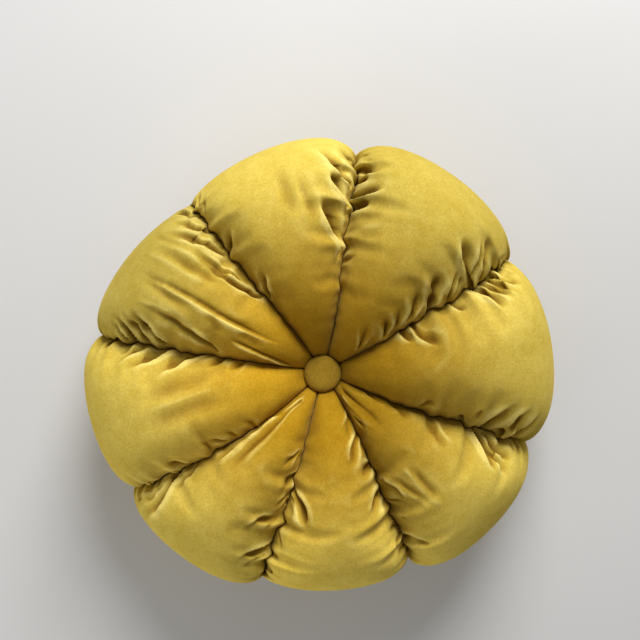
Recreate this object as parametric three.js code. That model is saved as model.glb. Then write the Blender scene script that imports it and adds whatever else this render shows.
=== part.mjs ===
// A round cushion of eight stuffed velvet petals, like a pumpkin. The petals meet in eight gathered
// seams, and a covered button on each face draws the middle in.
// Millimetres, +Z up. It lies on its back: the face looks up, and +Y is the edge that is uppermost
// when the cushion stands on its rim. The origin is on the surface it lies on, under its middle.
import * as THREE from 'three';

// Driving sizes
const petalColumns = 12; // faces across a petal
const floorBlend = 4; // height over which a petal flattens where it rests
const buttonRadius = 18.5;
const buttonRise = 9; // from the cloth to the top of the button
const buttonGap = 0.3; // between a button and the cloth under it
const seatRadius = 17; // flat cloth under each button
const faceSeat = 108; // height of that cloth on the face
const backSeat = 54; // and on the back
const rimRadius = 212; // of the seams at the rim, where each seam's notch is measured
const rimReach = 240; // of the crowns at the rim, where each petal's reach is measured

// Half sections, from the middle of the face round the rim to the middle of the back: where the
// seam runs, and where the crown of a petal runs, as distances from the axis and heights.
const sections = [
  { seam: 0, seamHeight: faceSeat, crown: 0, crownHeight: faceSeat },
  { seam: 11, seamHeight: faceSeat, crown: 11, crownHeight: faceSeat },
  { seam: seatRadius, seamHeight: faceSeat, crown: seatRadius, crownHeight: faceSeat },
  { seam: 31, seamHeight: 113, crown: 28, crownHeight: 124 },
  { seam: 53, seamHeight: 118, crown: 49, crownHeight: 144 },
  { seam: 80, seamHeight: 121, crown: 77, crownHeight: 161 },
  { seam: 108, seamHeight: 121, crown: 108, crownHeight: 171 },
  { seam: 137, seamHeight: 118, crown: 140, crownHeight: 175 },
  { seam: 163, seamHeight: 111, crown: 172, crownHeight: 172 },
  { seam: 186, seamHeight: 101, crown: 201, crownHeight: 160 },
  { seam: 203, seamHeight: 88, crown: 224, crownHeight: 138 },
  { seam: 212, seamHeight: 73, crown: 237, crownHeight: 108 },
  { seam: 211, seamHeight: 58, crown: 240, crownHeight: 80 },
  { seam: 202, seamHeight: 46, crown: 234, crownHeight: 50 },
  { seam: 184, seamHeight: 38, crown: 217, crownHeight: 19 },
  { seam: 156, seamHeight: 34, crown: 188, crownHeight: -2 },
  { seam: 122, seamHeight: 34, crown: 146, crownHeight: -7 },
  { seam: 86, seamHeight: 38, crown: 98, crownHeight: -3 },
  { seam: 50, seamHeight: 45, crown: 54, crownHeight: 17 },
  { seam: seatRadius, seamHeight: backSeat, crown: seatRadius, crownHeight: backSeat },
  { seam: 11, seamHeight: backSeat, crown: 11, crownHeight: backSeat },
  { seam: 0, seamHeight: backSeat, crown: 0, crownHeight: backSeat },
];
const lastSection = sections.length - 1;
const turnsUnder = 13 / lastSection; // share of the sections at which the rim turns under
const turnBand = { before: 0.05, after: 0.1 }; // over which the gathers change to the back's own
const riseBand = { from: 40, to: 120 }; // distances from the axis over which a petal's rise grows
const rimBlend = 90; // distance from the axis at which the rim's own notches and reaches begin to count
const roundTo = 110; // distance from the axis up to which a petal is round across
const roundness = 2; // power of a round petal's cross-section
const squareness = 3.1; // and of a petal's at the rim, which is fuller beside the seams

// The rows of faces in each band of the sections: under the face button, on the face and the rim, on
// the back, and under the back button.
const rowBands = [
  { upTo: 2 / lastSection, rows: 2 },
  { upTo: 14 / lastSection, rows: 46 },
  { upTo: 19 / lastSection, rows: 12 },
  { upTo: 1, rows: 2 },
];
const meridianRows = rowBands.reduce((sum, band) => sum + band.rows, 0);

// Seams, anticlockwise from the upper right. The angles are in degrees from +X: where the seam leaves
// the button, halfway out, and at the rim. notch is its distance from the axis at the rim.
const seams = [
  { atButton: 31, halfway: 31, atRim: 31, notch: 215 },
  { atButton: 74, halfway: 80, atRim: 81, notch: 209 },
  { atButton: 119, halfway: 126, atRim: 128, notch: 216 },
  { atButton: 166, halfway: 169, atRim: 171, notch: 222 },
  { atButton: 222, halfway: 216, atRim: 212, notch: 224 },
  { atButton: 256, halfway: 255, atRim: 253, notch: 227 },
  { atButton: 307, halfway: 298, atRim: 295, notch: 210 },
  { atButton: 339, halfway: 341, atRim: 341, notch: 208 },
];

// Petals, anticlockwise from the upper right, each from the seam of its own row to the next one.
// reachFrom and reachTo are the crown's distance from the axis at the rim, towards the first seam and
// towards the second, and rise lifts its crown on the face.
const petals = [
  { reachFrom: 234, reachTo: 242, rise: 1 },
  { reachFrom: 241, reachTo: 222, rise: 0 },
  { reachFrom: 217, reachTo: 243, rise: -4 },
  { reachFrom: 246, reachTo: 240, rise: -1 },
  { reachFrom: 243, reachTo: 240, rise: -3 },
  { reachFrom: 228, reachTo: 226, rise: 0 },
  { reachFrom: 238, reachTo: 238, rise: -2 },
  { reachFrom: 239, reachTo: 230, rise: 2 },
];

// The main gathers: troughs that run from a seam into the petal on one of its sides, 1 being
// anticlockwise and -1 clockwise. from is the distance of the start from the axis, heading the
// direction in plan in degrees from +X, and run, width and depth are the trough's own.
const gathers = [
  { seam: 0, side: 1, from: 52, heading: 68, run: 62, width: 17, depth: 4 },
  { seam: 0, side: 1, from: 118, heading: 66, run: 42, width: 18, depth: 7 },
  { seam: 0, side: 1, from: 150, heading: 69, run: 36, width: 16, depth: 6 },
  { seam: 0, side: 1, from: 176, heading: 90, run: 58, width: 19, depth: 8 },
  { seam: 0, side: 1, from: 202, heading: 86, run: 44, width: 17, depth: 5 },
  { seam: 0, side: -1, from: 104, heading: -70, run: 30, width: 18, depth: 6 },
  { seam: 0, side: -1, from: 150, heading: -24, run: 28, width: 16, depth: 4 },
  { seam: 0, side: -1, from: 178, heading: -31, run: 46, width: 19, depth: 7 },
  { seam: 0, side: -1, from: 203, heading: -20, run: 44, width: 17, depth: 5 },
  { seam: 1, side: 1, from: 150, heading: 122, run: 48, width: 22, depth: 9 },
  { seam: 1, side: 1, from: 181, heading: 121, run: 38, width: 18, depth: 7 },
  { seam: 1, side: 1, from: 204, heading: 131, run: 50, width: 17, depth: 6 },
  { seam: 1, side: -1, from: 188, heading: 18, run: 42, width: 20, depth: 7 },
  { seam: 2, side: -1, from: 113, heading: 76, run: 28, width: 17, depth: 5 },
  { seam: 2, side: -1, from: 154, heading: 88, run: 38, width: 20, depth: 8 },
  { seam: 2, side: 1, from: 121, heading: 157, run: 108, width: 20, depth: 5 },
  { seam: 2, side: 1, from: 160, heading: 152, run: 48, width: 17, depth: 5 },
  { seam: 2, side: 1, from: 204, heading: 172, run: 36, width: 17, depth: 5 },
  { seam: 3, side: -1, from: 40, heading: 150, run: 138, width: 17, depth: 6 },
  { seam: 3, side: -1, from: 116, heading: 147, run: 88, width: 20, depth: 7 },
  { seam: 3, side: -1, from: 172, heading: 146, run: 54, width: 17, depth: 6 },
  { seam: 3, side: -1, from: 202, heading: 146, run: 42, width: 17, depth: 5 },
  { seam: 3, side: 1, from: 173, heading: 213, run: 38, width: 19, depth: 6 },
  { seam: 3, side: 1, from: 202, heading: 211, run: 32, width: 17, depth: 5 },
  { seam: 4, side: -1, from: 124, heading: 165, run: 26, width: 18, depth: 5 },
  { seam: 4, side: -1, from: 166, heading: 176, run: 36, width: 19, depth: 7 },
  { seam: 4, side: -1, from: 198, heading: 177, run: 32, width: 17, depth: 6 },
  { seam: 4, side: 1, from: 37, heading: 226, run: 116, width: 17, depth: 5 },
  { seam: 4, side: 1, from: 201, heading: 240, run: 42, width: 19, depth: 6 },
  { seam: 5, side: -1, from: 140, heading: 207, run: 52, width: 18, depth: 5 },
  { seam: 5, side: -1, from: 187, heading: 212, run: 36, width: 18, depth: 6 },
  { seam: 5, side: 1, from: 130, heading: 290, run: 40, width: 20, depth: 7 },
  { seam: 5, side: 1, from: 204, heading: 288, run: 30, width: 18, depth: 5 },
  { seam: 6, side: -1, from: 76, heading: 262, run: 32, width: 17, depth: 6 },
  { seam: 6, side: -1, from: 108, heading: 250, run: 30, width: 17, depth: 6 },
  { seam: 6, side: -1, from: 134, heading: 252, run: 36, width: 19, depth: 8 },
  { seam: 6, side: 1, from: 26, heading: 315, run: 70, width: 18, depth: 4 },
  { seam: 6, side: 1, from: 136, heading: 336, run: 32, width: 17, depth: 4 },
  { seam: 6, side: 1, from: 181, heading: 332, run: 34, width: 18, depth: 6 },
  { seam: 7, side: -1, from: 130, heading: 302, run: 38, width: 18, depth: 4 },
  { seam: 7, side: -1, from: 172, heading: 298, run: 48, width: 18, depth: 6 },
  { seam: 7, side: -1, from: 198, heading: 307, run: 40, width: 18, depth: 5 },
  { seam: 7, side: 1, from: 158, heading: 28, run: 30, width: 17, depth: 5 },
  { seam: 7, side: 1, from: 178, heading: 35, run: 48, width: 19, depth: 8 },
  { seam: 7, side: 1, from: 203, heading: 36, run: 40, width: 18, depth: 7 },
];

// Gathers on the back, which are much alike along every seam: between two distances from the axis,
// leaning outwards by a number of degrees. uneven is how much their places and lengths vary.
const backGathers = { count: 5, first: 62, last: 205, lean: 34, run: 52, width: 26, depth: 5, uneven: 0.3 };
const deepest = 10; // of any gather, where several run together
const seamHold = 0.2; // share of a petal's half over which its gathers grow from nothing at the seam
const troughStart = 0.6; // width of a trough at the seam, as a share of its own width
const troughEnd = 1.1; // and at its far end

// Half a section of a button, from the middle of its flat underside to the top of its dome, as shares
// of its radius and height.
const buttonHeight = buttonRise - buttonGap;
const buttonProfile = [
  { out: 0, up: 0 },
  { out: 0.86, up: 0 },
  { out: 0.97, up: 0.2 },
  { out: 1, up: 0.42 },
  { out: 0.96, up: 0.62 },
  { out: 0.84, up: 0.79 },
  { out: 0.6, up: 0.92 },
  { out: 0.32, up: 0.98 },
  { out: 0, up: 1 },
];

const seamPath = new THREE.CatmullRomCurve3(
  sections.map((row) => new THREE.Vector3(row.seam, row.seamHeight, 0)),
);
const crownPath = new THREE.CatmullRomCurve3(
  sections.map((row) => new THREE.Vector3(row.crown, row.crownHeight, 0)),
);

// 0 up to one end of a range, 1 from the other end, and smooth between.
function fade(from, to, x) {
  return THREE.MathUtils.smoothstep(x, from, to);
}

// The angle of a seam, in radians, at a distance from the axis. It bends a little on its way out.
function seamAngle(row, radius) {
  const out = THREE.MathUtils.clamp(radius / rimRadius, 0, 1);
  const inner = THREE.MathUtils.lerp(row.atButton, row.halfway, Math.min(1, 2 * out));
  const outer = THREE.MathUtils.lerp(row.halfway, row.atRim, Math.max(0, 2 * out - 1));
  return THREE.MathUtils.degToRad(out < 0.5 ? inner : outer);
}

// Where a row of faces lies along the sections, as a share of them.
function rowPlace(row) {
  let done = 0;
  let from = 0;
  for (const band of rowBands) {
    if (row <= done + band.rows) return THREE.MathUtils.lerp(from, band.upTo, (row - done) / band.rows);
    done += band.rows;
    from = band.upTo;
  }
  return 1;
}

// The petals rest on their backs: what would lie below the floor is pressed flat on to it.
function rested(height) {
  if (height >= floorBlend) return height;
  return height <= -floorBlend ? 0 : (height + floorBlend) ** 2 / (4 * floorBlend);
}

// A point of petal i before it is gathered. along runs from 0 in the middle of the face to 1 in the
// middle of the back, and across from -1 at the petal's own seam to 1 at the next one.
function smoothPoint(i, along, across) {
  const start = seams[i];
  const end = seams[(i + 1) % seams.length];
  const seam = seamPath.getPoint(along);
  const crown = crownPath.getPoint(along);
  const power = THREE.MathUtils.lerp(roundness, squareness, fade(roundTo, rimRadius, seam.x));
  const turn = (across * Math.PI) / 2;
  const sideways = Math.sign(turn) * Math.abs(Math.sin(turn)) ** (2 / power);
  const share = (sideways + 1) / 2;
  const out = Math.max(0, Math.cos(turn)) ** (2 / power);

  const nearRim = fade(rimBlend, rimRadius, seam.x);
  const notch = THREE.MathUtils.lerp(start.notch, end.notch, share);
  const seamRadius = seam.x * THREE.MathUtils.lerp(1, notch / rimRadius, nearRim);
  const reach = THREE.MathUtils.lerp(petals[i].reachFrom, petals[i].reachTo, share);
  const crownRadius = crown.x * THREE.MathUtils.lerp(1, reach / rimReach, nearRim);
  const onFace = 1 - fade(0.5, turnsUnder, along);
  const crownHeight = crown.y + petals[i].rise * onFace * fade(riseBand.from, riseBand.to, crown.x);

  const wrap = i === seams.length - 1 ? 2 * Math.PI : 0;
  const angle = THREE.MathUtils.lerp(seamAngle(start, seam.x), seamAngle(end, seam.x) + wrap, share);
  const radius = THREE.MathUtils.lerp(seamRadius, crownRadius, out);
  const height = THREE.MathUtils.lerp(seam.y, crownHeight, out);
  return new THREE.Vector3(radius * Math.cos(angle), radius * Math.sin(angle), height);
}

// How deep a trough is at a point, ahead being the distance along it and beside the distance to one
// side of it. It is narrow where it leaves the seam and ends wide and shallow.
function trough(ahead, beside, gather) {
  if (ahead < -gather.width || ahead > gather.run) return 0;
  const widening = THREE.MathUtils.lerp(troughStart, troughEnd, fade(0, gather.run, ahead));
  const off = beside / ((gather.width / 2) * widening);
  return gather.depth * Math.exp(-off * off) * (1 - fade(gather.run / 2, gather.run, ahead));
}

// The depth of the gathers of petal i at a point of it.
function gathered(i, along, across, point) {
  let depth = 0;
  const onFace = 1 - fade(turnsUnder - turnBand.before, turnsUnder + turnBand.after, along);
  for (const gather of gathers) {
    const petal = gather.side > 0 ? gather.seam : (gather.seam + seams.length - 1) % seams.length;
    if (petal !== i || onFace === 0) continue;
    const bearing = seamAngle(seams[gather.seam], gather.from);
    const heading = THREE.MathUtils.degToRad(gather.heading);
    const east = point.x - gather.from * Math.cos(bearing);
    const north = point.y - gather.from * Math.sin(bearing);
    const ahead = east * Math.cos(heading) + north * Math.sin(heading);
    const beside = north * Math.cos(heading) - east * Math.sin(heading);
    depth += onFace * trough(ahead, beside, gather);
  }
  return deepest * Math.tanh((depth + (1 - onFace) * backGathered(i, across, point)) / deepest);
}

// The same on the back, where the gathers lean outwards from both seams of a petal.
function backGathered(i, across, point) {
  const radius = Math.hypot(point.x, point.y);
  const { count, first, last, run } = backGathers;
  const lean = THREE.MathUtils.degToRad(backGathers.lean);
  const inset = ((1 - Math.abs(across)) * radius) / 2;
  const side = across < 0 ? i : i + 0.5;
  let depth = 0;
  for (let k = 0; k < count; k++) {
    const uneven = backGathers.uneven * Math.sin(7 * side + 3 * k); // no two alike
    const outwards = radius - THREE.MathUtils.lerp(first, last, (k + uneven) / (count - 1));
    const ahead = inset * Math.cos(lean) + outwards * Math.sin(lean);
    const beside = outwards * Math.cos(lean) - inset * Math.sin(lean);
    depth += trough(ahead, beside, { ...backGathers, run: run * (1 + uneven) });
  }
  return depth;
}

// A point of petal i as gathered: the troughs go in square to the cloth, and not at the seam itself.
function petalPoint(i, along, across) {
  const point = smoothPoint(i, along, across);
  const radius = Math.hypot(point.x, point.y);
  const hold = fade(0, seamHold, 1 - Math.abs(across)) * fade(buttonRadius, 2 * buttonRadius, radius);
  if (hold > 0) {
    const step = 0.004; // small enough to measure the slope with
    const outwards = smoothPoint(i, along + step, across).sub(smoothPoint(i, along - step, across));
    const sideways = smoothPoint(i, along, across + step).sub(smoothPoint(i, along, across - step));
    const normal = outwards.cross(sideways).normalize();
    point.addScaledVector(normal, -hold * gathered(i, along, across, point));
  }
  point.z = rested(point.z);
  return point;
}

// The whole filled body: a sphere's points, moved to where the petals lie.
function makeCushion() {
  const geometry = new THREE.SphereGeometry(1, petals.length * petalColumns, meridianRows);
  const { position, uv } = geometry.attributes;
  for (let k = 0; k < position.count; k++) {
    const turn = THREE.MathUtils.clamp(uv.getX(k), 0, 1) * petals.length;
    const i = Math.min(petals.length - 1, Math.floor(turn + 1e-4));
    const along = rowPlace(Math.round((1 - uv.getY(k)) * meridianRows));
    const p = petalPoint(i, along, 2 * (turn - i) - 1);
    position.setXYZ(k, p.x, p.y, p.z);
  }
  geometry.computeVertexNormals();
  return geometry;
}

// A button covered in the same cloth: a low dome with a round edge, flat underneath.
function makeButton() {
  const points = buttonProfile.map(({ out, up }) => [out * buttonRadius, up * buttonHeight]);
  return new THREE.LatheGeometry(points.map((point) => new THREE.Vector2(...point)), 40);
}

function addPiece(parent, name, geometry, material) {
  const mesh = new THREE.Mesh(geometry, material);
  mesh.name = name;
  parent.add(mesh);
  return mesh;
}

const velvet = new THREE.MeshStandardMaterial({ color: 0xc4a032, roughness: 0.85, metalness: 0 });
const buttonVelvet = new THREE.MeshStandardMaterial({ color: 0xae9236, roughness: 0.85, metalness: 0 });

const body = makeCushion();
body.computeBoundingBox();
const middle = body.boundingBox.getCenter(new THREE.Vector3());
const pumpkin = new THREE.Group();
pumpkin.position.set(-middle.x, -middle.y, 0);
addPiece(pumpkin, 'cushion', body, velvet);

const faceButton = addPiece(pumpkin, 'face_button', makeButton(), buttonVelvet);
faceButton.rotation.x = Math.PI / 2;
faceButton.position.z = faceSeat + buttonGap;
const backButton = addPiece(pumpkin, 'back_button', makeButton(), buttonVelvet);
backButton.rotation.x = -Math.PI / 2;
backButton.position.z = backSeat - buttonGap;

const group = new THREE.Group();
group.add(pumpkin);
export default group;
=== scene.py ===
import math

import bpy
import numpy as np
from mathutils import Matrix, Vector


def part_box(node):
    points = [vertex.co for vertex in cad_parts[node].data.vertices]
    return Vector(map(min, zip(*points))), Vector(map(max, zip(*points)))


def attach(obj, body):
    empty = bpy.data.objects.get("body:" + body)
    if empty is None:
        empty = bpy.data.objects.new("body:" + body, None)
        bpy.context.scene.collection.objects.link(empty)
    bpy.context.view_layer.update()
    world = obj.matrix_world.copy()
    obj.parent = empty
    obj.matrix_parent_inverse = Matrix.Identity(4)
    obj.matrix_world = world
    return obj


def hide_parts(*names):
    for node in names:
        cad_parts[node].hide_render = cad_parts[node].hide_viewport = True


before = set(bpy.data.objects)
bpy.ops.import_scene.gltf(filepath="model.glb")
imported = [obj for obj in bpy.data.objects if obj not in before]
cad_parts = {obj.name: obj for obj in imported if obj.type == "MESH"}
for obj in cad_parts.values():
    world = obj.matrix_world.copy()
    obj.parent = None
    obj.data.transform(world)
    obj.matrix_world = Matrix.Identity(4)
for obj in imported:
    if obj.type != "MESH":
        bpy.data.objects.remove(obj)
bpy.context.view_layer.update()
print("solids loaded")

mm = 0.001
buttonLow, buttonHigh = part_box("face_button")
axis = (buttonLow + buttonHigh) / 2  # of the tufting, which isn't quite the middle of the box


# Camera

cameraPlace = {
    "distance": 0.930,  # from the top of the face button
    "tilt": 8,  # degrees off square to the face, towards +Y
    "fieldOfView": 38,
    "buttonAt": (322.5, 374.5),  # in a frame of 640 by 640
    "frameSide": 640,
}


def makeCamera(place):
    focal = place["frameSide"] / 2 / math.tan(math.radians(place["fieldOfView"] / 2))
    yaw, pitch = (math.atan((at - place["frameSide"] / 2) / focal) for at in place["buttonAt"])
    tilt = math.radians(place["tilt"])
    back = Vector((0, math.sin(tilt), math.cos(tilt)))
    right = Vector((1, 0, 0))
    up = back.cross(right)
    forward = -back * math.cos(pitch) + up * math.sin(pitch)
    up = right.cross(forward)
    forward = forward * math.cos(yaw) - right * math.sin(yaw)
    right = forward.cross(up).normalized()
    up = right.cross(forward)
    data = bpy.data.cameras.new("camera")
    data.angle = math.radians(place["fieldOfView"])
    camera = bpy.data.objects.new("camera", data)
    turn = Matrix((right, up, -forward)).transposed().to_4x4()
    top = Vector((axis.x, axis.y, buttonHigh.z))
    camera.matrix_world = Matrix.Translation(top + back * place["distance"]) @ turn
    bpy.context.collection.objects.link(camera)
    bpy.context.scene.camera = camera


makeCamera(cameraPlace)
bpy.context.scene.view_settings.view_transform = "Standard"
print("camera placed")


# The filled petals

cushion = {
    "columns": 120,  # faces across a petal
    "rows": 420,  # and from the middle of the face to the middle of the back
    "floorBlend": 4,  # mm over which a petal flattens where it rests
    "rimRadius": 212,  # of the seams at the rim
    "rimReach": 240,  # of the crowns at the rim
    "rimBlend": 90,  # mm from the axis, where each seam and petal starts towards its own reach
    "squareFrom": 150,  # and where a petal starts towards its shape at the rim
    "faceShape": (2.3, 0.6),  # fullness of a petal, and how open the valleys are
    "rimShape": (3.1, 0.33),
    "seamHold": 5,  # mm from a seam to where a fold has its full depth
    "seamDensity": (1.3, 16),  # how much closer together the columns are at a seam, and over how many mm
    "stitch": (5, 1.0),  # depth and half width in mm of the stitched line between two petals
    "stitchStarts": (18, 26),  # mm from the axis, at the button's edge
    "valleyLift": 14,  # mm that the cloth of two petals meets above the seam itself
    "valleyBand": (28, 80),  # mm from the axis between which that sets in
    "riseBand": (40, 120),  # and a crown's own rise
    "rimStarts": (0.4, 0.52),  # of the way from the face to the back
    "turnsUnder": 13 / 21,  # and where the petals turn under
    "tightens": (60, 170),  # mm from the axis between which a seam's inner tightness gives way to its rim's
    "wander": ((7, 1.3), (17, 2.1), (31, 1.6), (47, 0.7)),  # waves along a tight seam, and their mm
    "wanderStarts": (30, 150),  # mm from the axis
    "faceSeat": 108,  # mm up, under each button
    "backSeat": 54,
    "foldsStart": (18, 30),  # mm from the axis
    "foldLead": 5,  # mm that a fold from a seam starts before it
    "around": (14, 8),  # rows and columns around a point that its depth is measured against
    "foldShare": 0.3,  # how much the fold's own depth adds to that
    "pressed": (50, 215),  # mm from the axis between which the colour goes from the button's to the rim's: pressed pile and painted shade of the hollow near the button
    "fill": 0.8,
}

# Half sections in mm: seam from the axis, its height, crown from the axis, its height
sections = (
    (0, 108, 0, 108),
    (11, 108, 11, 108),
    (17, 108, 17, 108),
    (31, 113, 28, 124),
    (53, 118, 49, 144),
    (80, 121, 77, 161),
    (108, 121, 108, 171),
    (137, 118, 140, 175),
    (163, 111, 172, 172),
    (186, 101, 201, 160),
    (203, 88, 224, 138),
    (212, 73, 237, 108),
    (211, 58, 240, 80),
    (202, 46, 234, 50),
    (184, 38, 217, 19),
    (156, 34, 188, -2),
    (122, 34, 146, -7),
    (86, 38, 98, -3),
    (50, 45, 54, 17),
    (17, 54, 17, 54),
    (11, 54, 11, 54),
    (0, 54, 0, 54),
)

# Seams: degrees at the button, halfway and at the rim, the notch's distance from the axis in mm, and how
# tightly it is gathered in its inner half and at the rim
seams = (
    (31, 31, 31, 215, 0.7, 1.0),
    (74, 80, 81, 209, 0.6, 0.8),
    (119, 126, 128, 216, 0.55, 0.6),
    (166, 169, 171, 222, 0.3, 0.6),
    (222, 216, 212, 224, 0.3, 0.55),
    (256, 255, 253, 227, 0.8, 0.85),
    (307, 298, 295, 210, 0.6, 0.75),
    (339, 341, 341, 208, 0.6, 0.85),
)

# Petals: reach at the rim towards the first and second seam, and the rise of the crown, in mm, and how
# light each petal is near the button and at the rim: partly the lie of its pile, partly painted light and
# shade, lighter or darker as the light falls on that petal
petals = (
    (234, 242, 1, 0.80, 0.78),
    (241, 222, 0, 0.90, 0.97),
    (217, 243, -4, 1.15, 0.73),
    (246, 240, -1, 1.22, 0.98),
    (243, 240, -3, 1.02, 0.95),
    (228, 226, 0, 0.92, 1.12),
    (238, 238, -2, 0.70, 1.05),
    (239, 230, 2, 0.72, 0.93),
)
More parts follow.
